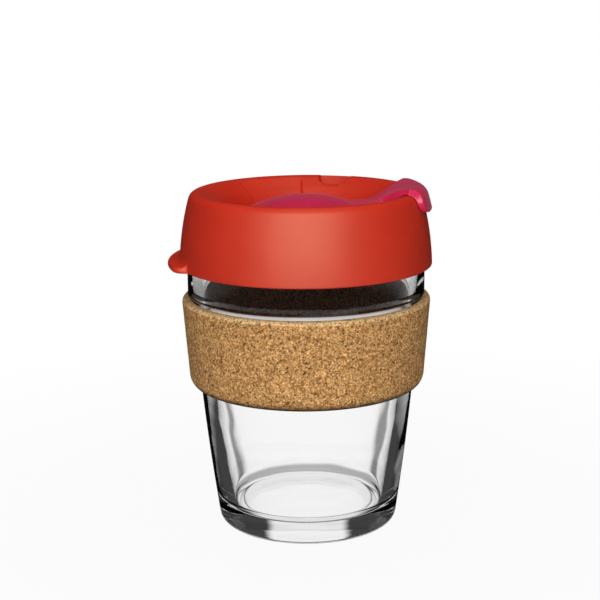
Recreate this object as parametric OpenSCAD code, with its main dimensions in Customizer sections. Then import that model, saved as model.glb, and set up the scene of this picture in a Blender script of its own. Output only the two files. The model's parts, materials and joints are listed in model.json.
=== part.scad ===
// Reusable glass coffee cup: a tapered glass with a shoulder, a cork grip band that sits under
// the shoulder, a press-on lid with a lift tab, and a drink plug that swivels on the lid.
// Millimetres. The origin is the centre of the foot on the table and +Z is up. The plug's tongue
// points along +X and the lid's lift tab along -X. Profiles are [radius, height] points.

/* [Glass cup] */
// Height of the glass rim above the table
cup_h = 104.5; // [101:0.5:110]
// Outer radius that the side wall would reach at the table
foot_r = 31.4; // [30:0.1:33]
// Rounding of the foot's outer edge
foot_round = 3; // [1:0.1:4]
// Outer radius at the neck, just under the shoulder
neck_r = 39.7; // [38:0.1:42]
// Height of the neck above the table
neck_z = 79.5; // [72:0.5:82]
// How far the side wall bows out of a straight cone
side_bow = 0.9; // [0.2:0.1:1.5]
// How far the collar above the shoulder stands out of the neck
shoulder_out = 1.7; // [1:0.1:2.4]
// Height of the rounded shoulder
shoulder_h = 4.5; // [3:0.1:6]
// Wall thickness at the rim
rim_wall = 3; // [2.4:0.1:3.6]
// Rounding of both edges of the glass rim
glass_rim_round = 1; // [0.5:0.1:1.1]
// Thickness of the glass floor
floor_t = 7; // [5:0.1:9]
// Wall thickness beside the floor
base_wall = 4.6; // [3.8:0.1:5.2]
// Rounding between the floor and the inner wall
well_round = 4.5; // [2:0.1:6]
// How far the inner wall bows out of a straight cone
well_bow = 1.4; // [0.8:0.1:1.6]
// Radius of the hollow under the foot
punt_r = 24; // [18:0.5:26]
// Depth of the hollow under the foot
punt_depth = 1.2; // [0.5:0.1:2.5]

/* [Cork band] */
// Gap between the glass and the band
band_fit = 0.3; // [0.2:0.05:0.5]
// Height of the band
band_h = 31.2; // [26:0.2:34]
// How far the band's top stands above the neck
band_over = 2.2; // [1:0.1:3]
// Thickness of the band at the neck
band_t = 3.5; // [2.8:0.1:4.5]
// Thickness of the band at its lower edge
band_foot_t = 3.7; // [3:0.1:4.6]
// Rounding of the upper outer edge
band_top_round = 1.6; // [0.6:0.1:1.8]
// Width of the rounding of the lower outer edge
band_foot_round = 2.9; // [1.5:0.1:3]
// Height of the rounding of the lower outer edge
band_foot_rise = 4.2; // [2:0.1:6]

/* [Lid] */
// Gap between the glass and the lid
lid_fit = 0.3; // [0.2:0.05:0.4]
// Wall of the skirt at its lower edge
skirt_wall = 2.3; // [1.9:0.1:3]
// How far the skirt hangs below the glass rim
skirt_drop = 11.6; // [9:0.1:14]
// Lean of the skirt where it meets the rounded drinking rim
flank_angle = 15.5; // [13:0.5:17]
// Height of the drinking rim above the glass rim
rim_rise = 13.9; // [13.4:0.1:16]
// How far the crest of the drinking rim lies inside the skirt's lower edge
rim_inset = 6.3; // [6:0.1:7]
// Outer rounding of the drinking rim
rim_out_round = 2.9; // [2.4:0.1:3.4]
// Inner rounding of the drinking rim
rim_in_round = 5; // [4:0.1:6]
// Slope of the ledge inside the drinking rim
ledge_angle = 30; // [27:1:32]
// Width of the sloping ledge
ledge_w = 4; // [3.4:0.1:4.6]
// Rounding of the dish's side below the ledge
bowl_round = 12; // [11.5:0.1:13]
// Depth of the dish below the drinking rim
dish_depth = 11.9; // [10.5:0.1:12.5]
// Wall of the dish
dish_wall = 2; // [1.4:0.1:2.4]
// How far the sealing ring reaches down inside the glass
seal_drop = 6.5; // [4:0.1:8]
// Wall of the sealing ring
seal_wall = 1.2; // [0.8:0.1:1.6]
// Depth of the solid drinking rim above the hollow behind the skirt
rim_solid = 5.4; // [5:0.1:6.5]
// Width of the sip hole around the lid
sip_w = 13; // [9:0.5:15]
// Length of the sip hole along the lid's radius
sip_l = 5.5; // [4.5:0.1:6]
// How far the sip hole's middle lies inside the crest of the drinking rim
sip_inset = 6.4; // [6.1:0.1:6.9]

/* [Lid details] */
// How far the lift tab stands out of the skirt
tab_reach = 4.1; // [3:0.1:6]
// Width of the lift tab round the skirt
tab_w = 36.5; // [30:0.5:40]
// Rounding of the lift tab's corners
tab_corner = 4; // [2.5:0.1:5]
// Thickness of the lift tab
tab_t = 2.2; // [1.6:0.1:3]
// Angle from the tongue to the notch in the drinking rim
notch_angle = 72.5; // [66:0.5:74]
// Radius of the notch in plan
notch_r = 6.2; // [5:0.1:7]
// How far the notch's centre lies inside the crest of the drinking rim
notch_inset = 0.7; // [0.4:0.1:1.2]
// How far the notch's back wall lies outside the crest of the drinking rim
notch_back = 1.3; // [0.9:0.1:1.5]
// Depth of the notch's floor below the crest of the drinking rim
notch_depth = 3.35; // [2.8:0.05:3.6]
// Angle from the tongue to the seat where the open tongue parks
park_angle = 113; // [112:1:130]
// Angle that the parking seat spans
park_span = 41; // [34:1:44]
// Depth of the parking seat in the dish's side
park_depth = 0.6; // [0.3:0.05:0.8]
// Turn below the ledge over which the parking seat reaches its depth
park_fade = 4; // [2:1:8]

/* [Plug] */
// Gap between the plug and the lid
plug_gap = 0.25; // [0.2:0.05:0.4]
// Gap around the dome at the floor of the dish
dish_gap = 1.3; // [0.9:0.1:1.6]
// Radius of the dome's spherical top
dome_crown = 47; // [44:0.5:52]
// Height of the dome above the dish
dome_h = 10.2; // [9.9:0.1:11]
// Wall of the dome
dome_wall = 2.2; // [1.6:0.1:2.6]
// Radius of the stem that the plug swivels on
stem_r = 4; // [3:0.1:5]
// Gap around the stem
stem_gap = 0.2; // [0.15:0.05:0.4]
// How far the stem's snap head stands out of the stem
snap_out = 1.4; // [0.8:0.1:2]
// Height of the stem's snap head
snap_h = 3.5; // [2:0.1:5]

/* [Tongue] */
// Thickness of the tongue
tongue_t = 1.6; // [1.3:0.1:1.9]
// Thickness of the tongue outside the drinking rim
tip_t = 2; // [1.6:0.1:2.4]
// Distance from the bending line to where the neck starts to curve up
hinge_lead = 1.2; // [0.7:0.1:2]
// Height of the neck's top above the dish
neck_h = 5.65; // [5.3:0.05:6]
// Width of the tongue at the neck
neck_w = 25.6; // [20:0.2:26]
// Width of the tongue at its tip
tip_w = 31; // [27:0.5:34]
// Rounding of the tip's corners
tip_round = 6; // [3:0.5:7]
// How far the tip hangs below the drinking rim
tip_drop = 6.5; // [5:0.1:9]
// Steepness of the tongue between the neck and the drinking rim
tongue_slope = 39; // [36:1:42]
// Rounding of the tongue's top inside the drinking rim
crown_round = 7.3; // [6.5:0.1:8]
// Rounding of the tongue's top outside the drinking rim
crown_out_round = 4.35; // [4:0.05:4.7]
// Bend of the neck into the slope
neck_bend = 11; // [9:0.5:12]
// Gap between the sip hole and the end of the pad that closes it
pad_margin = 1.5; // [1:0.1:2]

/* [Hidden] */
$fn = 96;
// A cut runs this far past the face it opens
past = 1;

// Points of an arc round c, by angles from straight up towards +radius, without the first skip points
function arc(c, r, from, to, steps, skip = 0) =
    [for (i = [skip:steps]) let (a = from + (to - from) * i / steps) c + r * [sin(a), cos(a)]];

// Glass profile
collar_r = neck_r + shoulder_out;
rim_in_r = collar_r - rim_wall;
well_r = foot_r - base_wall;
shoulder_round = (shoulder_out * shoulder_out + shoulder_h * shoulder_h) / (2 * shoulder_out);
shoulder_c = [collar_r - shoulder_round, neck_z + shoulder_h];
// A bowed cone between two radii, by the share t of its height
function bowed(r0, r1, bow, t) = r0 + (r1 - r0) * t + 4 * bow * t * (1 - t);
function side_r(z) = bowed(foot_r, neck_r, side_bow, z / neck_z);
function well_at(z) = bowed(well_r, rim_in_r, well_bow, (z - floor_t) / (cup_h - floor_t));
function shoulder_r(z) =
    shoulder_c[0] + sqrt(shoulder_round * shoulder_round - pow(shoulder_c[1] - z, 2));
function glass_r(z) = z < neck_z ? side_r(z) : z < shoulder_c[1] ? shoulder_r(z) : collar_r;
// Lean of the outer and the inner wall where they meet the foot and the floor
side_lean = atan((neck_r - foot_r + 4 * side_bow) / neck_z);
well_lean = atan((rim_in_r - well_r + 4 * well_bow) / (cup_h - floor_t));
foot_top = foot_round * (1 - sin(side_lean));
foot_c = [side_r(foot_top) - foot_round * cos(side_lean), foot_round];
well_top = floor_t + well_round * (1 - sin(well_lean));
well_c = [well_at(well_top) - well_round * cos(well_lean), floor_t + well_round];
punt_round = (punt_r * punt_r + punt_depth * punt_depth) / (2 * punt_depth);

// Band profile
band_top = neck_z + band_over;
band_foot = band_top - band_h;
band_top_r = neck_r + band_fit + band_t;
band_foot_r = glass_r(band_foot) + band_fit + band_foot_t;

// Lid profile
skirt_in = collar_r + lid_fit;
skirt_r = skirt_in + skirt_wall;
skirt_z = cup_h - skirt_drop;
crest = [skirt_r - rim_inset, cup_h + rim_rise];
rim_out_c = crest - [0, rim_out_round];
rim_in_c = crest - [0, rim_in_round];
// The skirt is an arc that runs smoothly into the drinking rim
flank_turn = 90 - flank_angle;
flank_n = [sin(flank_turn), cos(flank_turn)];
flank_top = rim_out_c + rim_out_round * flank_n;
flank_run = [skirt_r, skirt_z] - flank_top;
flank_round = -(flank_run * flank_run) / (2 * flank_run * flank_n);
flank_c = flank_top - flank_round * flank_n;
flank_start = atan2(skirt_r - flank_c[0], skirt_z - flank_c[1]);
ledge_n = [-sin(ledge_angle), cos(ledge_angle)];
ledge_start = rim_in_c + rim_in_round * ledge_n;
ledge_end = ledge_start - ledge_w * [1, tan(ledge_angle)];
bowl_c = ledge_end - bowl_round * ledge_n;
dish_z = crest[1] - dish_depth;
seal_z = cup_h - seal_drop;
seal_r = well_at(seal_z) - lid_fit;
seal_in = seal_r - seal_wall;
under_end = bowl_c + (bowl_round - dish_wall) * ledge_n;
seal_top = under_end[1] + (seal_in - under_end[0]) * tan(ledge_angle);
seat_r = rim_in_r + rim_wall / 2;
hollow_z = crest[1] - rim_solid;
hub_r = stem_r + stem_gap;
sip_r = crest[0] - sip_inset;
// Where the bowl meets the floor of the dish, on the lid's upper surface raised by g
function bowl_turn(g) = acos((dish_z + g - bowl_c[1]) / (bowl_round + g));
function lid_top(g) = concat(
    arc(flank_c, flank_round + g, flank_start, flank_turn, 12),
    arc(rim_out_c, rim_out_round + g, flank_turn, 0, 8, 1),
    arc(rim_in_c, rim_in_round + g, 0, -ledge_angle, 6, 1),
    arc(bowl_c, bowl_round + g, -ledge_angle, -bowl_turn(g), 10));
// The tab's rounded corners, by their distance from the axis and their angle from the tab's middle
corner_r = skirt_r + tab_reach - tab_corner;
corner_turn = asin((tab_w / 2 - tab_corner) / corner_r);

// Plug profile
dome_r = bowl_c[0] - bowl_round * sin(bowl_turn(0)) - dish_gap;
dome_c = [0, dish_z + dome_h - dome_crown];
snap_z = dish_z - dish_wall - plug_gap;
hinge_z = dish_z + neck_h;
tongue_rise = plug_gap + tongue_t;
crown_c = [crest[0], crest[1] + tongue_rise - crown_round];
crown_end = crown_c + crown_round * [-sin(tongue_slope), cos(tongue_slope)];
neck_start = crown_end[0] - (crown_end[1] - hinge_z) / tan(tongue_slope)
    - neck_bend * tan(tongue_slope / 2);
neck_c = [neck_start, hinge_z + neck_bend];
hinge_x = neck_start - hinge_lead;
tip_z = crest[1] - tip_drop;
// Outside the drinking rim the tongue runs along the skirt, a little thicker
tip_round_r = flank_round + plug_gap + tip_t;
tip_turn = acos((tip_z - flank_c[1]) / tip_round_r);
out_z = crest[1] + tongue_rise - crown_out_round;
out_turn = acos((out_z - flank_c[1]) / (tip_round_r - crown_out_round));
out_c = flank_c + (tip_round_r - crown_out_round) * [sin(out_turn), cos(out_turn)];
pad_r = sip_r - sip_l / 2 - pad_margin;
pad_turn = asin((pad_r - neck_start) / (neck_bend + tongue_t));
tip_x = skirt_r + plug_gap + tip_t;

module glass_section() {
    polygon(concat(
        [[punt_r, 0]],
        arc(foot_c, foot_round, 180, 90 + side_lean, 8),
        [for (i = [1:10]) let (z = foot_top + (neck_z - foot_top) * i / 10) [side_r(z), z]],
        arc(shoulder_c, shoulder_round, 90 + asin(shoulder_h / shoulder_round), 90, 6, 1),
        arc([collar_r - glass_rim_round, cup_h - glass_rim_round], glass_rim_round, 90, 0, 6),
        arc([rim_in_r + glass_rim_round, cup_h - glass_rim_round], glass_rim_round, 0, -90, 6),
        [for (i = [1:10]) let (z = cup_h - glass_rim_round - (cup_h - glass_rim_round - well_top) * i / 10)
            [well_at(z), z]],
        arc(well_c, well_round, 90 + well_lean, 180, 8, 1),
        [[0, floor_t]],
        arc([0, punt_depth - punt_round], punt_round, 0, asin(punt_r / punt_round), 8)));
}

module band_section() {
    foot_edge = band_foot_r - band_foot_round;
    polygon(concat(
        [for (i = [0:8]) let (z = band_foot + band_h * i / 8) [glass_r(z) + band_fit, z]],
        arc([band_top_r - band_top_round, band_top - band_top_round], band_top_round, 0, 90, 8),
        [for (i = [0:8]) let (a = 90 * i / 8)
            [foot_edge + band_foot_round * cos(a), band_foot + band_foot_rise * (1 - sin(a))]]));
}

module lid_section() {
    polygon(concat(
        lid_top(0),
        [[hub_r, dish_z], [hub_r, dish_z - dish_wall]],
        arc(bowl_c, bowl_round - dish_wall, -bowl_turn(-dish_wall), -ledge_angle, 10),
        [[seal_in, seal_top], [seal_in, seal_z], [seal_r, seal_z], [seal_r, hollow_z]],
        [[seat_r, hollow_z], [seat_r, cup_h], [skirt_in, cup_h], [skirt_in, skirt_z]]));
}

// Shallow recess in the dish's side that runs out at the drinking rim
module park_section() {
    seat_round = bowl_round - park_depth;
    open_r = bowl_c[0] - bowl_round - past;
    polygon(concat(
        [ledge_start],
        arc(bowl_c, seat_round, -ledge_angle - park_fade, -acos((dish_z - bowl_c[1]) / seat_round), 8),
        [[open_r, dish_z], [open_r, ledge_start[1]]]));
}

module dome_section() {
    inner = dome_crown - dome_wall;
    polygon(concat(
        arc(dome_c, dome_crown, 0, asin(dome_r / dome_crown), 10),
        [[dome_r, dish_z + plug_gap], [dome_r - dome_wall, dish_z + plug_gap]],
        arc(dome_c, inner, asin((dome_r - dome_wall) / inner), asin(stem_r / inner), 8),
        [[stem_r, snap_z], [stem_r + snap_out, snap_z]],
        [[stem_r - snap_out / 2, snap_z - snap_h], [0, snap_z - snap_h]]));
}

// The tongue hugs the drinking rim: its underside is the lid's upper surface raised by the gap
module tongue_section() {
    difference() {
        polygon(concat(
            [[hinge_x - past, hinge_z]],
            arc(neck_c, neck_bend, 180, 180 - tongue_slope, 8),
            arc(crown_c, crown_round, -tongue_slope, 0, 6),
            arc(out_c, crown_out_round, 0, out_turn, 8),
            arc(flank_c, tip_round_r, out_turn, tip_turn, 4, 1),
            // These two points lie inside the lid, and the cut below takes what is between them
            [[crest[0], tip_z], [pad_r, tip_z - past]],
            arc(neck_c, neck_bend + tongue_t, 180 - pad_turn, 180, 6),
            [[hinge_x - past, hinge_z - tongue_t]]));
        polygon(concat(
            lid_top(plug_gap),
            [[0, dish_z + plug_gap], [0, skirt_z], [skirt_r, skirt_z]]));
    }
}

module lift_tab() {
    reach_r = skirt_r + tab_reach;
    middle = [-corner_r * cos(corner_turn), corner_r * sin(corner_turn)];
    translate([0, 0, skirt_z])
        difference() {
            linear_extrude(tab_t)
                polygon(concat(
                    [[0, -tab_w / 2]],
                    arc([middle[0], -middle[1]], tab_corner, 180, 270 - corner_turn, 4),
                    arc([0, 0], reach_r, 270 - corner_turn, 270 + corner_turn, 16, 1),
                    arc(middle, tab_corner, 270 + corner_turn, 360, 4, 1),
                    [[0, tab_w / 2]]));
            translate([0, 0, -past]) cylinder(r = skirt_in, h = tab_t + 2 * past);
        }
}

module sip_hole() {
    straight = sip_w - sip_l;
    translate([sip_r, 0, dish_z - dish_wall])
        linear_extrude(dish_depth + dish_wall) {
            square([sip_l, straight], center = true);
            for (side = [-1, 1]) translate([0, side * straight / 2]) circle(sip_l / 2);
        }
}

module rim_notch() {
    translate([0, 0, crest[1] - notch_depth])
        linear_extrude(notch_depth + past)
            intersection() {
                circle(crest[0] + notch_back);
                rotate(notch_angle) translate([crest[0] - notch_inset, 0]) circle(notch_r);
            }
}

module glass_cup() {
    color("lightcyan", 0.4) rotate_extrude() glass_section();
}

module cork_band() {
    color("peru") rotate_extrude() band_section();
}

module lid() {
    color("tomato")
        difference() {
            union() {
                rotate_extrude() lid_section();
                lift_tab();
            }
            sip_hole();
            rim_notch();
            rotate([0, 0, park_angle - park_span / 2])
                rotate_extrude(angle = park_span) park_section();
        }
}

module plug_dome() {
    neck_l = dome_r - hinge_x + dome_wall;
    color("mediumvioletred")
        difference() {
            union() {
                rotate_extrude() dome_section();
                translate([hinge_x - neck_l, -neck_w / 2, hinge_z - tongue_t])
                    cube([neck_l + past, neck_w, tongue_t]);
            }
            translate([hinge_x, -dome_r, dish_z]) cube([dome_r, 2 * dome_r, dome_h]);
        }
}

module plug_tongue() {
    half_tip = tip_w / 2;
    half_flat = half_tip - tip_round;
    tall = tip_drop + tongue_rise + past;
    color("hotpink")
        intersection() {
            rotate_extrude() tongue_section();
            translate([0, 0, tip_z - past])
                linear_extrude(tall + past)
                    polygon([[hinge_x, -neck_w / 2], [tip_x, -half_tip],
                             [tip_x, half_tip], [hinge_x, neck_w / 2]]);
            union() {
                translate([0, -half_tip, tip_z - past]) cube([crest[0], tip_w, tall + past]);
                translate([crest[0] - past, 0, tip_z])
                    rotate([90, 0, 90])
                        linear_extrude(tip_x) {
                            translate([-half_tip, tip_round]) square([tip_w, tall - tip_round]);
                            translate([-half_flat, 0]) square([2 * half_flat, tip_round + past]);
                            for (side = [-1, 1])
                                translate([side * half_flat, tip_round]) circle(tip_round);
                        }
            }
        }
}

glass_cup();
cork_band();
lid();
plug_dome();
plug_tongue();
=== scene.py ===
# Reusable glass coffee cup with a cork band, a press-on lid and a swivelling sip plug.
# Lengths are in millimetres until a mesh is made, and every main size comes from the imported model.
import json
import math

import bpy
import numpy as np
from mathutils import Matrix, Vector, noise


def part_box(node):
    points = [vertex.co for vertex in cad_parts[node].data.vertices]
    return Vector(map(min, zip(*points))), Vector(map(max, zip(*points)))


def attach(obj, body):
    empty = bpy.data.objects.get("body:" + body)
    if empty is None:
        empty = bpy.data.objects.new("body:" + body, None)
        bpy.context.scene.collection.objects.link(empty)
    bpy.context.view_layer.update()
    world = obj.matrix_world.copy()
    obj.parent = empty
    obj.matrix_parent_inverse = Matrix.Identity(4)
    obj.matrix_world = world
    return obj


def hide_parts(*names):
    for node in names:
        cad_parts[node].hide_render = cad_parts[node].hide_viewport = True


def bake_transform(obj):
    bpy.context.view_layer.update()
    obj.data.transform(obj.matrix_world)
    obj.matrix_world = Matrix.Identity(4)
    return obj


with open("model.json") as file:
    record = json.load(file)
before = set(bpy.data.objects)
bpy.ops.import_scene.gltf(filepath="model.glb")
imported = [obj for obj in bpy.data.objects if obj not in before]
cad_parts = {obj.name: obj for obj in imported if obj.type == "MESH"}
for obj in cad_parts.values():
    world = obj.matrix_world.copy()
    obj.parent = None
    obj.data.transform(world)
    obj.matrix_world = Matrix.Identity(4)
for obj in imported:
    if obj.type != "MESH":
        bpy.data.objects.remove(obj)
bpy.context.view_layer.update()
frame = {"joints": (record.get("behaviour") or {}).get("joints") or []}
MM = 0.001
# Points nearer than this to the one before are left out of an outline
REPEAT = 1e-4


def box_mm(node):
    low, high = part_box(node)
    return np.array(low) / MM, np.array(high) / MM


def turn(degrees):
    return np.array([math.sin(math.radians(degrees)), math.cos(math.radians(degrees))])


def around(r, angle, z):
    """A point at a radius, an angle in radians and a height."""
    return (r * math.cos(angle), r * math.sin(angle), z)


def arc(centre, radius, start, end, steps):
    """Points round a centre, by angles from straight up towards +radius."""
    centre = np.array(centre, float)
    return [centre + radius * turn(start + (end - start) * i / steps) for i in range(steps + 1)]


def line(a, b, steps):
    a, b = np.array(a, float), np.array(b, float)
    return [a + (b - a) * i / steps for i in range(steps + 1)]


def joined(*runs):
    """One outline from runs of points, without the points that repeat."""
    out = []
    for run in runs:
        for p in run:
            if not out or np.hypot(*(np.array(p) - out[-1])) > REPEAT:
                out.append(np.array(p, float))
    return out


def smooth(t):
    t = np.clip(t, 0, 1)
    return t * t * (3 - 2 * t)


def soft_min(a, b, width):
    h = np.clip(0.5 + 0.5 * (b - a) / width, 0, 1)
    return b + (a - b) * h - width * h * (1 - h)


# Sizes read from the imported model
GLASS_HIGH = box_mm("glass_cup")[1]
BAND_LOW, BAND_HIGH = box_mm("cork_band")
LID_LOW, LID_HIGH = box_mm("lid")
DOME_LOW, DOME_HIGH = box_mm("plug_dome")
CUP_H = GLASS_HIGH[2]
COLLAR_R = GLASS_HIGH[0]
SKIRT_R = LID_HIGH[1]
SKIRT_Z = LID_LOW[2]
CREST_Z = LID_HIGH[2]
HINGE = np.array(next(j for j in frame["joints"] if j["name"] == "tongue_flex")["pos_m"]) / MM

# Steps round the axis, and the angles above which an edge stays sharp
GLASS_STEPS, BAND_STEPS, DOME_STEPS, CARD_STEPS, FLOOR_STEPS = 192, 360, 160, 64, 96
SHARP_TURNED, SHARP_LID = 50, 40

# Glass, as in the part's source, but with a steeper shoulder and a flatter foot
FOOT_R, FOOT_ROUND, NECK_Z, SIDE_BOW = 31.4, 3.0, 79.5, 0.9
SHOULDER_OUT, SHOULDER_LOW, SHOULDER_TOP, SHOULDER_EASE = 1.7, 81.0, 83.3, 0.8
RIM_WALL, RIM_ROUND = 3.0, 1.0
FLOOR_T, BASE_WALL, WELL_ROUND, WELL_BOW = 7.0, 4.6, 4.5, 1.4
PUNT_R, PUNT_DEPTH = 24.0, 0.3
NECK_R = COLLAR_R - SHOULDER_OUT
RIM_IN_R = COLLAR_R - RIM_WALL
WELL_R = FOOT_R - BASE_WALL


def bowed(r0, r1, bow, t):
    return r0 + (r1 - r0) * t + 4 * bow * t * (1 - t)


def side_r(z):
    return bowed(FOOT_R, NECK_R, SIDE_BOW, z / NECK_Z)


def well_at(z):
    return bowed(WELL_R, RIM_IN_R, WELL_BOW, (z - FLOOR_T) / (CUP_H - FLOOR_T))


def glass_r(z):
    if z < NECK_Z:
        return side_r(z)
    t = np.clip((z - SHOULDER_LOW) / (SHOULDER_TOP - SHOULDER_LOW), 0, 1)
    return float(NECK_R + SHOULDER_OUT * (1 - (1 - t) ** SHOULDER_EASE))


def glass_outline():
    side_lean = math.degrees(math.atan((NECK_R - FOOT_R + 4 * SIDE_BOW) / NECK_Z))
    well_lean = math.degrees(math.atan((RIM_IN_R - WELL_R + 4 * WELL_BOW) / (CUP_H - FLOOR_T)))
    foot_top = FOOT_ROUND * (1 - turn(side_lean)[0])
    foot_c = [side_r(foot_top) - FOOT_ROUND * turn(side_lean)[1], FOOT_ROUND]
    well_top = FLOOR_T + WELL_ROUND * (1 - turn(well_lean)[0])
    well_c = [well_at(well_top) - WELL_ROUND * turn(well_lean)[1], FLOOR_T + WELL_ROUND]
    punt_round = (PUNT_R ** 2 + PUNT_DEPTH ** 2) / (2 * PUNT_DEPTH)
    punt_turn = math.degrees(math.asin(PUNT_R / punt_round))
    rim_z = CUP_H - RIM_ROUND
    side_z = np.linspace(foot_top, NECK_Z, 48)
    well_z = np.linspace(rim_z, well_top, 56)
    return joined(
        arc([0, PUNT_DEPTH - punt_round], punt_round, 0, punt_turn, 24),
        line([PUNT_R, 0], [foot_c[0], 0], 6),
        arc(foot_c, FOOT_ROUND, 180, 90 + side_lean, 14),
        [[side_r(z), z] for z in side_z],
        [[glass_r(z), z] for z in np.linspace(NECK_Z, SHOULDER_TOP, 60)],
        line([COLLAR_R, SHOULDER_TOP], [COLLAR_R, rim_z], 12),
        arc([COLLAR_R - RIM_ROUND, rim_z], RIM_ROUND, 90, 0, 8),
        arc([RIM_IN_R + RIM_ROUND, rim_z], RIM_ROUND, 0, -90, 8),
        [[well_at(z), z] for z in well_z],
        arc(well_c, WELL_ROUND, 90 + well_lean, 180, 14),
        line([well_c[0], FLOOR_T], [0, FLOOR_T], 16))


# Cork band, with its unevenness as height and waves per millimetre
WOBBLE, WOBBLE_SINK, WOBBLE_IN = ((0.05, 0.6), (0.035, 1.7)), 0.05, 0.5
# The second value is how far up a face must point to get the painted light and sheen of the band's top
INNER_NEAR, PAINTED_LIGHT_FACING = 0.05, 0.25
BAND_FIT, BAND_FOOT_T, BAND_TOP_ROUND = 0.3, 3.7, 1.6
BAND_FOOT_ROUND, BAND_FOOT_RISE, BAND_EDGE = 2.9, 4.2, 0.35
BAND_TOP, BAND_FOOT, BAND_TOP_R = BAND_HIGH[2], BAND_LOW[2], BAND_HIGH[0]


def band_outline():
    """Closed outline of the band, and how many of its last points lie on the inner face."""
    foot_edge = glass_r(BAND_FOOT) + BAND_FIT + BAND_FOOT_T - BAND_FOOT_ROUND
    top_z = BAND_TOP - BAND_TOP_ROUND
    side_top = np.array([BAND_TOP_R, top_z])
    side_foot = np.array([foot_edge + BAND_FOOT_ROUND, BAND_FOOT + BAND_FOOT_RISE])
    foot = [[foot_edge + BAND_FOOT_ROUND * turn(a)[1], BAND_FOOT + BAND_FOOT_RISE * (1 - turn(a)[0])]
            for a in np.linspace(90, 0, 17)]
    top_in = glass_r(BAND_TOP) + BAND_FIT
    foot_in = glass_r(BAND_FOOT) + BAND_FIT
    inner_z = np.linspace(BAND_TOP - BAND_EDGE, BAND_FOOT + BAND_EDGE, 28)
    outer = joined(
        line([foot_in + BAND_EDGE, BAND_FOOT], [foot_edge, BAND_FOOT], 3),
        foot,
        line(side_foot, side_top, 60),
        arc([BAND_TOP_R - BAND_TOP_ROUND, top_z], BAND_TOP_ROUND, 90, 0, 10),
        line([BAND_TOP_R - BAND_TOP_ROUND, BAND_TOP], [top_in + BAND_EDGE, BAND_TOP], 5))
    inner = [[glass_r(z) + BAND_FIT, z] for z in inner_z]
    return outer + [np.array(p) for p in inner], len(inner)


# Lid
LID_FIT, SKIRT_EDGE, FLANK_ANGLE = 0.3, 0.45, 15.5
RIM_INSET, RIM_OUT_ROUND, RIM_IN_ROUND = 6.3, 2.9, 5.0
LEDGE_ANGLE, LEDGE_W, BOWL_ROUND = 30.0, 4.0, 12.0
DISH_DEPTH, DISH_WALL, DISH_ROUND = 11.9, 2.0, 0.8
SEAL_DROP, SEAL_WALL, SEAL_EDGE, RIM_SOLID, HUB_R = 6.5, 1.2, 0.4, 5.4, 4.2
TAB_W, TAB_CORNER, TAB_T, TAB_ROOT, TAB_NEAR, TAB_EASE = 36.5, 4.0, 2.2, 1.8, 40, 0.5
NOTCH_ANGLE, NOTCH_R, NOTCH_INSET, NOTCH_BACK, NOTCH_DEPTH = 72.5, 6.2, 0.7, 1.3, 3.35
# The parking seat has a sharp, creased edge on one side and an eased one on the other
PARK_ANGLE, PARK_SPAN, PARK_DEPTH = 113.0, 41.0, 0.6
PARK_EDGE, CREASE_DEPTH, PARK_EASE = 0.3, 0.3, 1.0
DISH_NEAR, CUT_PAST, SLOT_STEPS, NOTCH_STEPS = 0.02, 1, 16, 96
SIP_W, SIP_L, SIP_INSET = 13.0, 5.5, 6.4
TAB_REACH = -LID_LOW[0] - SKIRT_R
SKIRT_IN = COLLAR_R + LID_FIT
CREST = np.array([SKIRT_R - RIM_INSET, CREST_Z])
RIM_OUT_C = CREST - [0, RIM_OUT_ROUND]
RIM_IN_C = CREST - [0, RIM_IN_ROUND]
FLANK_TURN = 90 - FLANK_ANGLE
FLANK_N = turn(FLANK_TURN)
FLANK_TOP = RIM_OUT_C + RIM_OUT_ROUND * FLANK_N
FLANK_RUN = np.array([SKIRT_R, SKIRT_Z]) - FLANK_TOP
FLANK_ROUND = -FLANK_RUN @ FLANK_RUN / (2 * FLANK_RUN @ FLANK_N)
FLANK_C = FLANK_TOP - FLANK_ROUND * FLANK_N
LEDGE_N = turn(-LEDGE_ANGLE)
LEDGE_START = RIM_IN_C + RIM_IN_ROUND * LEDGE_N
LEDGE_END = LEDGE_START - LEDGE_W * np.array([1, math.tan(math.radians(LEDGE_ANGLE))])
BOWL_C = LEDGE_END - BOWL_ROUND * LEDGE_N
DISH_Z = CREST_Z - DISH_DEPTH
# Steps round the lid in degrees, and the spans where they are closer: from, to and step
START_ANGLE, COARSE_STEP, HAIR = -14.0, 1.5, 1e-6
FINE_STEPS = [(NOTCH_ANGLE - 14, NOTCH_ANGLE + 14, 0.3), (START_ANGLE, 14, 0.8),
              (154, 164, 0.25), (164, 196, 1.0), (196, 206, 0.25)]
PARK_NEAR, PARK_STEP = 1.5, 0.125


def flank_r(z, grow=0.0):
    return FLANK_C[0] + math.sqrt((FLANK_ROUND + grow) ** 2 - (z - FLANK_C[1]) ** 2)


def bowl_turn(grow):
    return math.degrees(math.acos((DISH_Z + grow - BOWL_C[1]) / (BOWL_ROUND + grow)))


def skirt_run(reach):
    """Lower edge of the skirt, drawn out into the lift tab by a share of its full reach."""
    base = SKIRT_Z
    start = [SKIRT_IN + SKIRT_EDGE, base]
    top = base + TAB_T + TAB_ROOT
    edge = TAB_T / 2
    flat = SKIRT_R - SKIRT_EDGE
    tip = SKIRT_R + TAB_REACH - edge
    plain = (line(start, [flat, base], 7)
             + arc([flat, base + SKIRT_EDGE], SKIRT_EDGE, 180, 90, 7)
             + [[flank_r(z), z] for z in np.linspace(base + SKIRT_EDGE, top, 32)])
    root = SKIRT_R + TAB_ROOT
    tab = (line(start, [tip, base], 7)
           + arc([tip, base + edge], edge, 180, 90, 7)
           + arc([tip, base + edge], edge, 90, 0, 9)
           + line([tip, base + TAB_T], [root, base + TAB_T], 9)
           + arc([root, top], TAB_ROOT, 180, 270, 11))
    tab[-1] = np.array(plain[-1])
    plain, tab = np.array(plain), np.array(tab)
    return plain + (tab - plain) * reach


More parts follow.
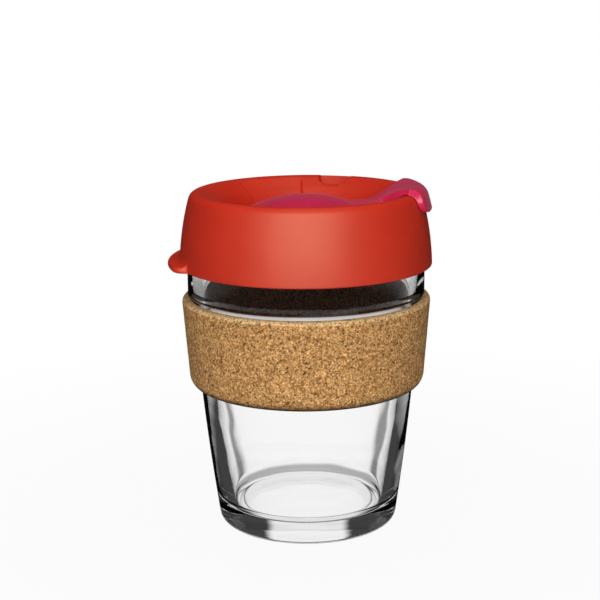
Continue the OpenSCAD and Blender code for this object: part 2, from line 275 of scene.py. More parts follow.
def tab_share(angle):
    """Share of the lift tab's reach at an angle round the lid."""
    off = math.radians(abs(angle - 180))
    corner_r = SKIRT_R + TAB_REACH - TAB_CORNER
    corner = math.asin((TAB_W / 2 - TAB_CORNER) / corner_r)
    if off > math.radians(TAB_NEAR):
        return 0.0
    if off < corner:
        return 1.0
    side = TAB_W / 2 / math.sin(off)
    past = corner_r * math.sin(off - corner)
    plan = corner_r * math.cos(off - corner) + math.sqrt(max(TAB_CORNER ** 2 - past ** 2, 0))
    if past > TAB_CORNER or plan * math.cos(off) < corner_r * math.cos(corner):
        plan = side
    return max(0.0, -float(soft_min(SKIRT_R - plan, 0.0, TAB_EASE))) / TAB_REACH


def lid_outline(angle):
    """Closed outline of the lid at an angle: its upper side from the skirt's edge, then its under side."""
    skirt = skirt_run(tab_share(angle))
    flank_z = np.linspace(skirt[-1][1], FLANK_TOP[1], 22)[1:]
    dish_end = bowl_turn(DISH_ROUND)
    dish_c = BOWL_C + (BOWL_ROUND + DISH_ROUND) * turn(-dish_end)
    floor_r = dish_c[0]
    under = BOWL_ROUND - DISH_WALL
    seal_z = CUP_H - SEAL_DROP
    seal_r = well_at(seal_z) - LID_FIT
    seal_in = seal_r - SEAL_WALL
    under_end = BOWL_C + under * LEDGE_N
    seal_top = under_end[1] + (seal_in - under_end[0]) * math.tan(math.radians(LEDGE_ANGLE))
    seat_r = RIM_IN_R + RIM_WALL / 2
    hollow_z = CREST_Z - RIM_SOLID
    upper = [
        list(skirt),
        [[flank_r(z), z] for z in flank_z],
        arc(RIM_OUT_C, RIM_OUT_ROUND, FLANK_TURN, 0, 14)[1:],
        arc(RIM_IN_C, RIM_IN_ROUND, 0, -LEDGE_ANGLE, 12)[1:],
        line(LEDGE_START, LEDGE_END, 14)[1:],
        arc(BOWL_C, BOWL_ROUND, -LEDGE_ANGLE, -dish_end, 22)[1:],
        arc(dish_c, DISH_ROUND, 180 - dish_end, 180, 5)[1:],
        line([floor_r, DISH_Z], [HUB_R + SKIRT_EDGE, DISH_Z], 10)[1:],
        arc([HUB_R + SKIRT_EDGE, DISH_Z - SKIRT_EDGE], SKIRT_EDGE, 0, -90, 3)[1:]]
    lower = [
        [[HUB_R, DISH_Z - DISH_WALL]],
        line([HUB_R, DISH_Z - DISH_WALL],
             BOWL_C + under * turn(-bowl_turn(-DISH_WALL)), 6)[1:],
        arc(BOWL_C, under, -bowl_turn(-DISH_WALL), -LEDGE_ANGLE, 10)[1:],
        [[seal_in, seal_top], [seal_in, seal_z + SEAL_EDGE], [seal_in + SEAL_EDGE, seal_z]],
        [[seal_r - SEAL_EDGE, seal_z], [seal_r, seal_z + SEAL_EDGE], [seal_r, hollow_z]],
        [[seat_r, hollow_z], [seat_r, CUP_H], [SKIRT_IN, CUP_H]],
        line([SKIRT_IN, CUP_H], [SKIRT_IN, SKIRT_Z + SKIRT_EDGE], 6)[1:]]
    top = [np.array(p, float) for run in upper for p in run]
    low = [np.array(p, float) for run in lower for p in run]
    return np.array(top), np.array(low)


def park_profile(top):
    """How deep the parking seat is along the lid's upper outline, and which way it goes in."""
    depth = np.zeros(len(top))
    into = np.zeros((len(top), 2))
    inside = top[:, 0] < LEDGE_START[0]
    ledge = inside & (top[:, 0] > LEDGE_END[0])
    bowl = inside & ~ledge & (top[:, 1] > DISH_Z + DISH_NEAR)
    run = LEDGE_START[0] - LEDGE_END[0]
    depth[ledge] = PARK_DEPTH * (LEDGE_START[0] - top[ledge, 0]) / run
    depth[bowl] = PARK_DEPTH
    into[ledge] = -LEDGE_N
    away = BOWL_C - top[bowl]
    into[bowl] = away / np.linalg.norm(away, axis=1)[:, None]
    return depth[:, None] * into


def lid_angles():
    """Angles round the lid, closer together where a feature needs it."""
    park = [PARK_ANGLE - PARK_SPAN / 2, PARK_ANGLE + PARK_SPAN / 2]
    fine = FINE_STEPS + [(p - PARK_NEAR, p + PARK_NEAR, PARK_STEP) for p in park]
    out, a = [], START_ANGLE
    while a < START_ANGLE + 360 - HAIR:
        out.append(a)
        step = min([s for lo, hi, s in fine if lo - HAIR <= a < hi - HAIR] or [COARSE_STEP])
        ahead = [lo for lo, hi, s in fine if a + HAIR < lo < a + step]
        a = min(ahead) if ahead else a + step
    return out


# Mesh making
def mesh_object(name, verts, faces, smooth_angle=None):
    mesh = bpy.data.meshes.new(name)
    mesh.from_pydata([tuple(float(c) * MM for c in v) for v in verts], [], faces)
    mesh.validate()
    mesh.update()
    obj = bpy.data.objects.new(name, mesh)
    bpy.context.scene.collection.objects.link(obj)
    shade(obj, smooth_angle)
    return obj


def shade(obj, smooth_angle=None):
    for p in obj.data.polygons:
        p.use_smooth = True
    if smooth_angle:
        obj.data.set_sharp_from_angle(angle=math.radians(smooth_angle))


def ring_faces(rings, count, closed):
    """Faces of a grid whose rings go round the axis; closed also joins the outline's ends."""
    faces = []
    for i in range(rings):
        for j in range(count if closed else count - 1):
            a, b = i * count + j, i * count + (j + 1) % count
            k = ((i + 1) % rings) * count
            faces.append((a, k + j, k + (j + 1) % count, b))
    return faces


def lathe_closed(name, outline, steps, smooth_angle=None, wobble=None):
    """A ring turned from a closed outline that doesn't touch the axis."""
    verts = []
    for i in range(steps):
        a = 2 * math.pi * i / steps
        for r, z in outline:
            v = Vector(around(r, a, z))
            verts.append(wobble(v, r, a) if wobble else v)
    return mesh_object(name, verts, ring_faces(steps, len(outline), True), smooth_angle)


def lathe_poles(name, outline, steps, smooth_angle=None):
    """A solid turned from an outline that starts and ends on the axis."""
    inner = outline[1:-1]
    count = len(inner)
    verts = []
    for i in range(steps):
        a = 2 * math.pi * i / steps
        verts += [around(r, a, z) for r, z in inner]
    faces = ring_faces(steps, count, False)
    low, high = len(verts), len(verts) + 1
    verts += [(0, 0, outline[0][1]), (0, 0, outline[-1][1])]
    for i in range(steps):
        k = ((i + 1) % steps) * count
        faces.append((low, k, i * count))
        faces.append((high, i * count + count - 1, k + count - 1))
    return mesh_object(name, verts, faces, smooth_angle)


def applied(obj):
    """Replaces an object's mesh by what its modifiers give."""
    graph = bpy.context.evaluated_depsgraph_get()
    mesh = bpy.data.meshes.new_from_object(obj.evaluated_get(graph))
    obj.modifiers.clear()
    obj.data = mesh
    return obj


def boolean(obj, other, operation):
    modifier = obj.modifiers.new("boolean", "BOOLEAN")
    modifier.operation = operation
    modifier.solver = "EXACT"
    modifier.object = other


def ease(obj, iterations):
    modifier = obj.modifiers.new("ease", "SMOOTH")
    modifier.factor = 0.5
    modifier.iterations = iterations
    return modifier


def cut(obj, cutter):
    boolean(obj, cutter, "DIFFERENCE")
    applied(obj)
    bpy.data.objects.remove(cutter)
    return obj


def make_glass():
    return lathe_poles("glass_body", glass_outline(), GLASS_STEPS, SHARP_TURNED)


def make_band():
    outline, inner = band_outline()
    count = len(outline)

    def wobble(v, r, a):
        out = Vector((math.cos(a), math.sin(a), 0))
        lift = sum(high * noise.noise(v * often) for high, often in WOBBLE)
        if r - glass_r(v.z) - BAND_FIT < INNER_NEAR:
            return v - out * (min(lift, 0.0) * WOBBLE_IN)
        return v + out * (lift - WOBBLE_SINK)

    obj = lathe_closed("cork_ring", outline, BAND_STEPS, SHARP_TURNED, wobble)
    first = count - inner
    for i, p in enumerate(obj.data.polygons):
        # The inner face gets a darker copy of the cork, as painted shade for the unlit inside
        p.material_index = 1 if first <= i % count < count - 1 else 0
        # The top and its rounding get a lighter copy of the cork, as painted light and sheen from above
        if p.normal.z > PAINTED_LIGHT_FACING and p.center.z > (BAND_TOP - BAND_TOP_ROUND) * MM:
            p.material_index = 2
    return obj


def make_lid():
    angles = lid_angles()
    park = None
    verts = []
    for a in angles:
        top, low = lid_outline(a)
        if park is None:
            park = park_profile(top)
        off = abs((a - PARK_ANGLE + 180) % 360 - 180) - PARK_SPAN / 2
        far = a > PARK_ANGLE
        width = math.degrees((PARK_EASE if far else PARK_EDGE) / LEDGE_END[0])
        crease = 0.0 if far else CREASE_DEPTH / PARK_DEPTH * math.exp(-(off / width) ** 2)
        top = top + park * float(smooth(0.5 - off / width) + crease)
        verts += [around(r, math.radians(a), z) for r, z in (*top, *low)]
    count = len(top) + len(low)
    obj = mesh_object("lid_shell", verts, ring_faces(len(angles), count, True))
    obj = cut(obj, sip_cutter())
    obj = cut(obj, notch_cutter())
    shade(obj, SHARP_LID)
    return obj


def prism(name, plan, low, high):
    """An upright block over an outline in plan."""
    n = len(plan)
    verts = [(x, y, low) for x, y in plan] + [(x, y, high) for x, y in plan]
    faces = [tuple(range(n))[::-1], tuple(range(n, 2 * n))]
    faces += [(i, (i + 1) % n, n + (i + 1) % n, n + i) for i in range(n)]
    return mesh_object(name, verts, faces)


def sip_cutter():
    """A slot-shaped block through the dish."""
    half = (SIP_W - SIP_L) / 2
    mid = CREST[0] - SIP_INSET
    plan = []
    for side in (1, -1):
        for i in range(SLOT_STEPS + 1):
            a = math.radians(i * 180 / SLOT_STEPS)
            plan.append((mid + side * SIP_L / 2 * math.cos(a), side * (half + SIP_L / 2 * math.sin(a))))
    return prism("sip_cutter", plan, DISH_Z - 2 * DISH_WALL, CREST_Z + CUT_PAST)


def notch_cutter():
    """A round block that stops short of the rim's outer side."""
    centre, back = CREST[0] - NOTCH_INSET, CREST[0] + NOTCH_BACK
    plan = []
    for a in np.radians(np.linspace(0, 360, NOTCH_STEPS, endpoint=False)):
        x, y = centre + NOTCH_R * math.cos(a), NOTCH_R * math.sin(a)
        away = math.hypot(x, y)
        t = math.atan2(y, x) + math.radians(NOTCH_ANGLE)
        plan.append((min(away, back) * math.cos(t), min(away, back) * math.sin(t)))
    return prism("notch_cutter", plan, CREST_Z - NOTCH_DEPTH, CREST_Z + CUT_PAST)


# Plug
PLUG_GAP, DOME_CROWN, DOME_EDGE = 0.25, 47.0, 0.5
STEM_R, SNAP_OUT, SNAP_EDGE = 3.9, 1.4, 0.6
TONGUE_T, TIP_T, TIP_DROP, CROWN_OUT = 1.6, 2.0, 6.1, 4.35
CREST_W, TIP_W, TIP_ROUND, TIP_FLARE = 28.8, 33.0, 4.2, 0.6
EDGE_SLOPE, EDGE_MAX = 0.9, 2.2
TONGUE_SLOPE, CROWN_ROUND, NECK_BEND = 39.0, 7.3, 11.0
VOXEL, PLUG_EASE, SADDLE_EASE = 0.22, 5, 40
RIDGE_STEPS, TIP_STEPS, ACROSS_STEPS, SIDE_STEPS = 70, 36, 33, 6
# Where the tongue starts to curve round the lid's axis, and over what run
CURVE_START, CURVE_RUN = 14, 12
# Where the saddle is eased: below the hinge, and along and across with soft ends
SADDLE_BELOW, SADDLE_START, SADDLE_END, SADDLE_SIDE = 0.7, (6, 5), (18, 4), (14, 3)
DOME_R, DOME_TOP, SNAP_LOW = DOME_HIGH[1], DOME_HIGH[2], DOME_LOW[2]
TIP_Z = CREST_Z - TIP_DROP
RISE = PLUG_GAP + TONGUE_T
CROWN_C = CREST + [0, RISE - CROWN_ROUND]
CROWN_END = CROWN_C + CROWN_ROUND * turn(-TONGUE_SLOPE)
SLOPE_TAN = math.tan(math.radians(TONGUE_SLOPE))
NECK_START = (CROWN_END[0] - (CROWN_END[1] - HINGE[2]) / SLOPE_TAN
              - NECK_BEND * math.tan(math.radians(TONGUE_SLOPE / 2)))
NECK_C = np.array([NECK_START, HINGE[2] + NECK_BEND])
TIP_OUT = FLANK_ROUND + PLUG_GAP + TIP_T
TIP_TURN = math.degrees(math.acos((TIP_Z - FLANK_C[1]) / TIP_OUT))
OUT_Z = CREST_Z + RISE - CROWN_OUT
OUT_TURN = math.degrees(math.acos((OUT_Z - FLANK_C[1]) / (TIP_OUT - CROWN_OUT)))
OUT_C = FLANK_C + (TIP_OUT - CROWN_OUT) * turn(OUT_TURN)
PAD_END, PAD_TURN = 53.0, 26.0
# Upper side of the tongue from the dome to the rim: radius, height, half width
RIDGE = [(8.0, 115.0, 5.0), (18.5, 114.1, 5.6), (24.5, 114.8, 6.7), (28.8, 117.4, 6.9),
         (32.3, 119.1, 9.2), (35.6, 119.95, 12.4), (CREST[0], CREST_Z + RISE, CREST_W / 2)]


def dome_outline():
    base = DISH_Z + PLUG_GAP
    crown_c = [0, DOME_TOP - DOME_CROWN]
    snap_z = DISH_Z - DISH_WALL - PLUG_GAP
    end = math.degrees(math.asin(DOME_R / DOME_CROWN))
    head = STEM_R + SNAP_OUT
    return joined(
        arc(crown_c, DOME_CROWN, 0, end, 40),
        line([DOME_R, base + DOME_EDGE], [DOME_R - DOME_EDGE, base], 3),
        line([DOME_R - DOME_EDGE, base], [STEM_R, base], 8),
        [[STEM_R, snap_z], [head, snap_z], [head, snap_z - SNAP_EDGE]],
        [[STEM_R - SNAP_OUT / 2, SNAP_LOW], [0, SNAP_LOW]])


def eased(points, at):
    """Height and half width at a radius, on a smooth curve through a few points."""
    points = np.array(points)
    x, y = points[:, 0], points[:, 1:]
    slope = np.gradient(y, x, axis=0)
    i = int(np.clip(np.searchsorted(x, at) - 1, 0, len(x) - 2))
    step = x[i + 1] - x[i]
    t = (at - x[i]) / step
    rise = smooth(t)
    start = t * (1 - t) ** 2 * step
    stop = t * t * (t - 1) * step
    return y[i] + rise * (y[i + 1] - y[i]) + start * slope[i] + stop * slope[i + 1]


def spaced(points, count):
    """A number of points at even steps along a path."""
    points = np.array(points)
    run = np.append(0, np.cumsum(np.linalg.norm(np.diff(points, axis=0), axis=1)))
    at = np.linspace(0, run[-1], count)
    return np.stack([np.interp(at, run, points[:, 0]), np.interp(at, run, points[:, 1])], axis=1)


def tip_half(z):
    """Half width of the outer flap at a height, with its lower corners rounded."""
    up = min(max(z - TIP_Z, 0.0), TIP_ROUND)
    return TIP_W / 2 - TIP_ROUND + math.sqrt(TIP_ROUND ** 2 - (TIP_ROUND - up) ** 2)


def tongue_stations():
    """Radius, height and half width of the upper and the under side, from the dome to the tip."""
    gap = PLUG_GAP
    flank_low = math.degrees(math.acos((TIP_Z - FLANK_C[1]) / (FLANK_ROUND + gap)))
    under = np.array(joined(
        line([RIDGE[0][0], HINGE[2] - TONGUE_T], [NECK_START, HINGE[2] - TONGUE_T], 6),
        arc(NECK_C, NECK_BEND + TONGUE_T, 180, 180 - PAD_TURN, 6),
        arc(BOWL_C, BOWL_ROUND + gap, -PAD_END, -LEDGE_ANGLE, 8),
        arc(RIM_IN_C, RIM_IN_ROUND + gap, -LEDGE_ANGLE, 0, 8)))
    stations = []
    for r in np.linspace(RIDGE[0][0], CREST[0], RIDGE_STEPS):
        z, half = eased(RIDGE, r)
        low = np.interp(r, under[:, 0], under[:, 1])
        spread = min(EDGE_SLOPE * (z - low), EDGE_MAX)
        stations.append(((r, z, half), (r, low, half + spread)))
    outside = spaced(joined(
        [[CREST[0], CREST_Z + RISE]],
        arc(OUT_C, CROWN_OUT, 0, OUT_TURN, 14),
        arc(FLANK_C, TIP_OUT, OUT_TURN, TIP_TURN, 6)), TIP_STEPS)
    inside = spaced(joined(
        arc(RIM_OUT_C, RIM_OUT_ROUND + gap, 0, FLANK_TURN, 12),
        arc(FLANK_C, FLANK_ROUND + gap, FLANK_TURN, flank_low, 8)), TIP_STEPS)
    for (r, z), (r_in, z_in) in zip(outside[1:], inside[1:]):
        half = min(CREST_W / 2 + TIP_FLARE * (CREST_Z + RISE - z), tip_half(z))
        stations.append(((r, z, half), (r_in, z_in, tip_half(z_in))))
    return stations


def make_plug():
    """The dome and the tongue joined into one soft moulding."""
    dome = lathe_poles("plug_soft", dome_outline(), DOME_STEPS)
    across = np.linspace(-1, 1, ACROSS_STEPS)
    edge = np.linspace(0, 1, SIDE_STEPS)[1:-1]
    rings = []
    for top, low in tongue_stations():
        top, low = np.array(top), np.array(low)
        ring = [(top, v) for v in across] + [(top + (low - top) * e, 1) for e in edge]
        ring += [(low, v) for v in across[::-1]] + [(low + (top - low) * e, -1) for e in edge]
        rings.append([(r, v * half, z) for (r, z, half), v in ring])
    verts = []
    for r, y, z in (point for ring in rings for point in ring):
        bent = smooth((r - CURVE_START) / CURVE_RUN)
        verts.append((math.sqrt(r * r - bent * y * y), y, z))
    n = len(rings[0])
    faces = [(i * n + j, (i + 1) * n + j, (i + 1) * n + (j + 1) % n, i * n + (j + 1) % n)
             for i in range(len(rings) - 1) for j in range(n)]
    last = (len(rings) - 1) * n
    faces += [tuple(range(n)), tuple(range(last, last + n))[::-1]]
    tongue = mesh_object("plug_tongue_raw", verts, faces)
    boolean(dome, tongue, "UNION")
    remesh = dome.modifiers.new("remesh", "REMESH")
    remesh.mode = "VOXEL"
    remesh.voxel_size = VOXEL * MM
    ease(dome, PLUG_EASE)
    applied(dome)
    bpy.data.objects.remove(tongue)
    soften_saddle(dome)
    shade(dome)
    return dome


def soften_saddle(obj):
    """Ease the inner corner where the dome's top runs into the tongue."""
    (first, first_run), (last, last_run), (side, side_run) = SADDLE_START, SADDLE_END, SADDLE_SIDE
    group = obj.vertex_groups.new(name="saddle")
    for v in obj.data.vertices:
        x, y, z = v.co / MM
        if z < HINGE[2] - SADDLE_BELOW:
            continue
        along = smooth((x - first) / first_run) * smooth((last - x) / last_run)
        group.add([v.index], float(along * smooth((side - abs(y)) / side_run)), "REPLACE")
    ease(obj, SADDLE_EASE).vertex_group = "saddle"
    applied(obj)
    obj.vertex_groups.clear()


# Materials
def material(name, sockets):
    """A new material, its node tree and its main shader, with constants on the shader's sockets."""
    mat = bpy.data.materials.new(name)
    mat.use_nodes = True
    tree = mat.node_tree
    bsdf = tree.nodes["Principled BSDF"]
    for socket, value in sockets.items():
        bsdf.inputs[socket].default_value = value
    return mat, tree, bsdf


def add(tree, kind, **values):
    node = tree.nodes.new(kind)
    for key, value in values.items():
        if key in node.inputs:
            node.inputs[key].default_value = value
        else:
            setattr(node, key, value)
    return node


def feed(tree, socket, value):
    """Links a socket to an output, or sets it to a constant."""
    if isinstance(value, bpy.types.NodeSocket):
        tree.links.new(value, socket)
    else:
        socket.default_value = value


def calc(tree, operation, *values):
    node = add(tree, "ShaderNodeMath", operation=operation)
    for socket, value in zip(node.inputs, values):
        feed(tree, socket, value)
    return node.outputs[0]


def map_range(tree, source, values, kind="SMOOTHSTEP"):
    node = add(tree, "ShaderNodeMapRange", interpolation_type=kind)
    for socket, value in zip(("From Min", "From Max", "To Min", "To Max"), values):
        node.inputs[socket].default_value = value
    tree.links.new(source, node.inputs["Value"])
    return node.outputs["Result"]


def ramp(tree, source, stops):
    node = tree.nodes.new("ShaderNodeValToRGB")
    elements = node.color_ramp.elements
    while len(elements) < len(stops):
        elements.new(0.5)
    for e, (place, colour) in zip(elements, stops):
        e.position = place
        e.color = (*colour, 1)
    tree.links.new(source, node.inputs["Fac"])
    return node.outputs["Color"]


def greys(tree, source, stops):
    return ramp(tree, source, [(place, (value, value, value)) for place, value in stops])


def mix_colour(tree, mode, factor, a, b):
    node = add(tree, "ShaderNodeMix", data_type="RGBA", blend_type=mode)
    feed(tree, node.inputs[0], factor)
    for socket, value in ((node.inputs[6], a), (node.inputs[7], b)):
        feed(tree, socket, (*value, 1) if isinstance(value, tuple) else value)
    return node.outputs[2]


def mix_shader(tree, factor, a, b):
    node = tree.nodes.new("ShaderNodeMixShader")
    for socket, value in zip(node.inputs, (factor, a, b)):
        tree.links.new(value, socket)
    return node.outputs[0]


def coordinates(tree):
    return add(tree, "ShaderNodeTexCoord").outputs["Object"]


def noise_at(tree, where, scale, detail=2.0, rough=0.5):
    node = add(tree, "ShaderNodeTexNoise", Scale=scale, Detail=detail, Roughness=rough)
    tree.links.new(where, node.inputs["Vector"])
    return node.outputs["Fac"]


def cells_at(tree, where, scale, feature="F1"):
    node = add(tree, "ShaderNodeTexVoronoi", Scale=scale, feature=feature)
    tree.links.new(where, node.inputs["Vector"])
    return node


def bump(tree, height, strength, distance, bsdf, under=None):
    node = add(tree, "ShaderNodeBump", Strength=strength, Distance=distance)
    tree.links.new(height, node.inputs["Height"])
    if under is not None:
        tree.links.new(under, node.inputs["Normal"])
    tree.links.new(node.outputs["Normal"], bsdf.inputs["Normal"])
    return node.outputs["Normal"]


# Textures: marks per metre, depth of relief in metres, and the span of a noise between two tones
GLASS_WAVES, GLASS_RELIEF, GLASS_DEPTH = 55.0, 0.12, 0.002
FINE_DEPTH, NOISE_SPAN = 0.0001, (0.3, 0.7)
WARP, CELLS, FINE, PATCHES, DOTS = 700.0, 1050.0, 1900.0, 260.0, 500.0
WARP_REACH = 0.0012
# Cork tones: places along a noise or a distance, each with its grey
FINE_TONES, PATCH_TONES = ((0.32, 0.05), (0.60, 1.2)), ((0.3, 0.75), (0.7, 1.1))
# The foot's tones are painted shade for faces that turn down
SEAM_TONES, FOOT_SHADE_TONES = ((0.0, 0.3), (0.12, 1.0)), ((0.0, 0.16), (1.0, 1.0))
PATCH_SHARE, SEAM_SHARE, PORE_SHADE = 0.5, 0.7, 0.16
# Dark specks: marks per metre and the noise below which they show, then their depth and soft edge
SPECKS, SPECK_DARK, SPECK_EDGE = ((1500.0, 0.36), (800.0, 0.32)), 0.9, 0.06
# Ranges: from, to, the value at the start and the value at the end
# The foot's range runs over how far a face turns down, for its painted shade
DOT_RANGE, FOOT_SHADE_RANGE = (0.13, 0.21, 0.95, 0.0), (-0.8, -0.1, 0.0, 1.0)
FINE_RELIEF, SEAM_RELIEF = 0.15, 0.2


def glass_material():
    mat, tree, bsdf = material("clear_glass", {
        "Base Color": (1, 1, 1, 1), "Roughness": 0.0, "IOR": 1.46,
        "Transmission Weight": 1.0, "Specular IOR Level": 0.3})
    waves = noise_at(tree, coordinates(tree), GLASS_WAVES, 1.0)
    bump(tree, waves, GLASS_RELIEF, GLASS_DEPTH, bsdf)
    return mat


def cork_material(name, dark, light, contrast=0.8):
    """Pressed granules: cells of many tones, dark seams and specks, soft patches, painted shade on
    down-turned faces.
    """
    mat, tree, bsdf = material(name, {"Roughness": 0.85, "Specular IOR Level": 0.25})
    where = coordinates(tree)
    warp = add(tree, "ShaderNodeTexNoise", Scale=WARP, Detail=3.0)
    tree.links.new(where, warp.inputs["Vector"])
    shift = add(tree, "ShaderNodeVectorMath", operation="SCALE", Scale=WARP_REACH)
    tree.links.new(warp.outputs["Color"], shift.inputs[0])
    place = add(tree, "ShaderNodeVectorMath", operation="ADD")
    tree.links.new(where, place.inputs[0])
    tree.links.new(shift.outputs[0], place.inputs[1])
    warped = place.outputs[0]
    tone = add(tree, "ShaderNodeSeparateColor")
    tree.links.new(cells_at(tree, warped, CELLS).outputs["Color"], tone.inputs[0])
    mid = tuple((a + b) / 2 for a, b in zip(dark, light))
    colour = ramp(tree, tone.outputs[0], [(0.0, dark), (0.3, mid), (0.75, light), (1.0, mid)])
    fine = noise_at(tree, where, FINE, 3.0, 0.7)
    colour = mix_colour(tree, "MULTIPLY", contrast, colour, greys(tree, fine, FINE_TONES))
    patch = noise_at(tree, where, PATCHES)
    colour = mix_colour(tree, "MULTIPLY", PATCH_SHARE, colour, greys(tree, patch, PATCH_TONES))
    seams = cells_at(tree, warped, CELLS, "DISTANCE_TO_EDGE").outputs["Distance"]
    joint = greys(tree, seams, SEAM_TONES)
    colour = mix_colour(tree, "MULTIPLY", SEAM_SHARE, colour, joint)
    pore_colour = tuple(c * PORE_SHADE for c in dark)
    for scale, low in SPECKS:
        specks = noise_at(tree, where, scale, 2.0, 0.6)
        pores = greys(tree, specks, ((low, SPECK_DARK), (low + SPECK_EDGE, 0.0)))
        colour = mix_colour(tree, "MIX", pores, colour, pore_colour)
    spots = map_range(tree, cells_at(tree, warped, DOTS).outputs["Distance"], DOT_RANGE)
    colour = mix_colour(tree, "MIX", spots, colour, pore_colour)
    # Painted shade: faces that turn down, as on the foot, are darkened
    facing = add(tree, "ShaderNodeSeparateXYZ")
    tree.links.new(add(tree, "ShaderNodeNewGeometry").outputs["Normal"], facing.inputs[0])
    foot = map_range(tree, facing.outputs["Z"], FOOT_SHADE_RANGE)
    colour = mix_colour(tree, "MULTIPLY", 1.0, colour, greys(tree, foot, FOOT_SHADE_TONES))
    tree.links.new(colour, bsdf.inputs["Base Color"])
    under = bump(tree, fine, FINE_RELIEF, FINE_DEPTH, bsdf)
    bump(tree, joint, SEAM_RELIEF, FINE_DEPTH, bsdf, under)
    return mat


def satin_material(name, clouds, colours, grains, roughness, relief, sockets):
    """A smooth moulding: faint clouds of colour, and fine grain in its gloss and relief."""
    mat, tree, bsdf = material(name, sockets)
    where = coordinates(tree)
    cloud = noise_at(tree, where, clouds)
    tree.links.new(ramp(tree, cloud, list(zip(NOISE_SPAN, colours))), bsdf.inputs["Base Color"])
    grain = noise_at(tree, where, grains)
    tree.links.new(greys(tree, grain, list(zip(NOISE_SPAN, roughness))), bsdf.inputs["Roughness"])
    bump(tree, grain, relief, FINE_DEPTH, bsdf)
    return mat


def lid_material():
    return satin_material(
        "satin_lid", clouds=70.0, colours=((0.600, 0.020, 0.006), (0.650, 0.025, 0.009)),
        grains=3200.0, roughness=(0.45, 0.55), relief=0.15,
        sockets={"Specular IOR Level": 1.0, "Specular Tint": (1.0, 0.88, 0.6, 1)})


def plug_material():
    return satin_material(
        "soft_plug", clouds=90.0, colours=((0.66, 0.013, 0.075), (0.72, 0.017, 0.090)),
        grains=2800.0, roughness=(0.26, 0.34), relief=0.1,
        sockets={"Specular IOR Level": 0.9, "Sheen Weight": 0.13, "Sheen Roughness": 0.35,
                 "Sheen Tint": (1.0, 0.8, 0.88, 1)})


# Stage: floor, a dark card, the surround, lamps and camera, in metres
FLOOR_R, FLOOR_SINK, FLOOR_GREY = 3.0, 0.0002, 0.5
# The floor's white near the object, and the distances over which it becomes full white
FLOOR_NEAR, FLOOR_FAR = 0.94, (0.08, 0.26)
# The card's two radii and its height, in millimetres
DARK_FLOOR, CARD_LIFT, CARD_GREY = (33.0, 1400.0), 0.5, 0.012
# Strength of the surround for the plain light and for reflections
AMBIENT, MIRRORED = 0.06, 0.005
# Windows round the horizon, which the glass shows: their number, edge and range
WINDOWS, STRIP_AT, STRIP = 4, 0.455, (0.05, 0.26, 0.25, 1.0)
# Ranges for light that bounced inside the glass: round the horizon, by height, and by bounces
MIDDLE, RISING, FIRST_BOUNCE = (0.26, 0.58, 0.06, 1.0), (-0.02, 0.05, 1.0, 0.0), (1.0, 2.0, 1.0, 0.0)
# Brightness by height from straight down at 0 to straight up at 1, seen at once or after a bounce
DIRECT = [(0.08, 1.0), (0.13, 0.5), (0.19, 0.5), (0.24, 1.0), (0.475, 1.0), (0.505, 0.62), (0.58, 0.35)]
BOUNCED = [(0.10, 0.80), (0.19, 0.06), (0.285, 0.06), (0.33, 0.9), (0.66, 0.9), (0.80, 0.35)]
# Lamps: place, target, size, watts, and whether reflections show them
LAMPS = {
    "key": ((-0.04, -1.1, 0.50), (0, 0, 0.09), (1.3, 1.1), 14.8, True),
    "top": ((0.0, 0.0, 1.2), (0, 0, 0.08), (0.7, 0.7), 5.2, False),
    "back": ((0.0, 1.2, 0.6), (0, 0, 0.08), (0.8, 0.5), 1.6, False)}
CAMERA_BACK, CAMERA_UP = 488.1, 191.6
PITCH, ROLL, YAW, LENS, SENSOR = 12.948, 0.549, -0.255, 85.39, 36.0


def matte(name, value):
    return material(name, {
        "Base Color": (value, value, value, 1), "Roughness": 0.9, "Specular IOR Level": 0.0})


def make_floor():
    """White to the camera, and a plain grey floor to the lamps, so that it keeps a soft shadow."""
    mat, tree, bsdf = matte("pale_floor", FLOOR_GREY)
    away = add(tree, "ShaderNodeVectorMath", operation="LENGTH")
    tree.links.new(coordinates(tree), away.inputs[0])
    near = map_range(tree, away.outputs["Value"], (*FLOOR_FAR, FLOOR_NEAR, 1.0), "LINEAR")
    path = add(tree, "ShaderNodeLightPath")
    share = calc(tree, "MULTIPLY", path.outputs["Is Camera Ray"], near)
    white = add(tree, "ShaderNodeEmission", Color=(1, 1, 1, 1), Strength=1.0)
    surface = mix_shader(tree, share, bsdf.outputs[0], white.outputs[0])
    tree.links.new(surface, tree.nodes["Material Output"].inputs["Surface"])
    bpy.ops.mesh.primitive_circle_add(
        vertices=FLOOR_STEPS, radius=FLOOR_R, fill_type="NGON", location=(0, 0, -FLOOR_SINK))
    floor = bpy.context.object
    floor.name = "floor"
    floor.data.materials.append(mat)
    floor.visible_transmission = False


def make_card():
    """A dark ring on the floor that only reflections see, so that the front of the glass stays clear."""
    n = CARD_STEPS
    turns = np.radians(np.arange(n) * 360 / n)
    verts = [around(r, a, CARD_LIFT) for r in DARK_FLOOR for a in turns]
    faces = [(i, (i + 1) % n, n + (i + 1) % n, n + i) for i in range(n)]
    card = mesh_object("dark_card", verts, faces)
    card.data.materials.append(matte("dark_card", CARD_GREY)[0])
    card.visible_camera = False
    card.visible_diffuse = False
    card.visible_transmission = False
    card.visible_shadow = False


